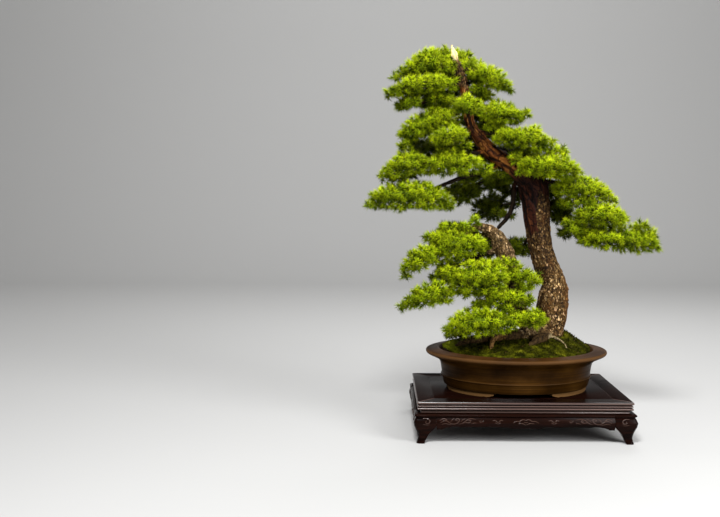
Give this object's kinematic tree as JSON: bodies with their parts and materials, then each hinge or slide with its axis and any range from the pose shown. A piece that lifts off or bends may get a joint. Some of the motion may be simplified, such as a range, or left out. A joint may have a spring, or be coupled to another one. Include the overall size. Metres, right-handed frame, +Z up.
{
  "type": "bonsai tree on a stand",
  "caption": "Mountain hemlock bonsai with two trunks and tiered needle pads, in an oval clay pot with moss, on a low moulded hardwood stand with curved legs.",
  "frame": {"origin": "middle of the bounding box's floor, on the surface that the stand's feet rest on", "axes": "+Z up, -Y towards the viewer of the picture, +X to the viewer's right; the tree leans to -X"},
  "size_m": [0.6304, 0.335, 0.8473],
  "materials": {
    "bark": "matte",
    "foliage_lit": "matte",
    "foliage_shaded": "matte",
    "moss": "matte",
    "soil": "matte",
    "clay": "satin",
    "screen": "matte",
    "rosewood": "gloss"
  },
  "bodies": {
    "root": {"tree_wood": "bark", "foliage_apex_left_top": "foliage_lit", "foliage_apex_left_low": "foliage_lit", "foliage_apex_left_under": "foliage_lit", "foliage_apex_left_back": "foliage_shaded", "foliage_apex_right": "foliage_lit", "foliage_apex_back": "foliage_shaded", "foliage_tier2_left": "foliage_lit", "foliage_tier2_left_front": "foliage_lit", "foliage_tier2_front": "foliage_lit", "foliage_tier2_right": "foliage_lit", "foliage_tier2_back": "foliage_shaded", "foliage_tier3_right": "foliage_lit", "foliage_tier3_back": "foliage_shaded", "foliage_tier4_right": "foliage_lit", "foliage_right_upper": "foliage_lit", "foliage_right_inner": "foliage_shaded", "foliage_right_mid": "foliage_lit", "foliage_right_tip": "foliage_lit", "foliage_right_back": "foliage_shaded", "foliage_tier3_left_inner": "foliage_lit", "foliage_tier3_left_outer": "foliage_lit", "foliage_tier3_left_back": "foliage_shaded", "foliage_tier4_left": "foliage_lit", "foliage_back_left": "foliage_shaded", "foliage_back_centre": "foliage_shaded", "foliage_back_upper": "foliage_shaded", "foliage_back_right": "foliage_shaded", "foliage_second_top": "foliage_lit", "foliage_second_left": "foliage_lit", "foliage_second_mid": "foliage_lit", "foliage_second_mid_left": "foliage_lit", "foliage_second_mid_right": "foliage_lit", "foliage_second_low": "foliage_lit", "foliage_second_low_top": "foliage_lit", "foliage_second_low_right": "foliage_lit", "foliage_second_back": "foliage_shaded", "foliage_second_inner": "foliage_lit", "moss": "moss", "soil": "soil", "pot": "clay", "drain_screen_left": "screen", "drain_screen_right": "screen", "frame_rail_front": "rosewood", "waist_rail_front": "rosewood", "apron_front": "rosewood", "frame_rail_right": "rosewood", "waist_rail_right": "rosewood", "apron_right": "rosewood", "frame_rail_back": "rosewood", "waist_rail_back": "rosewood", "apron_back": "rosewood", "frame_rail_left": "rosewood", "waist_rail_left": "rosewood", "apron_left": "rosewood", "leg_front_left": "rosewood", "leg_front_right": "rosewood", "leg_back_right": "rosewood", "leg_back_left": "rosewood", "top_panel": "rosewood"}
  },
  "joints": []
}
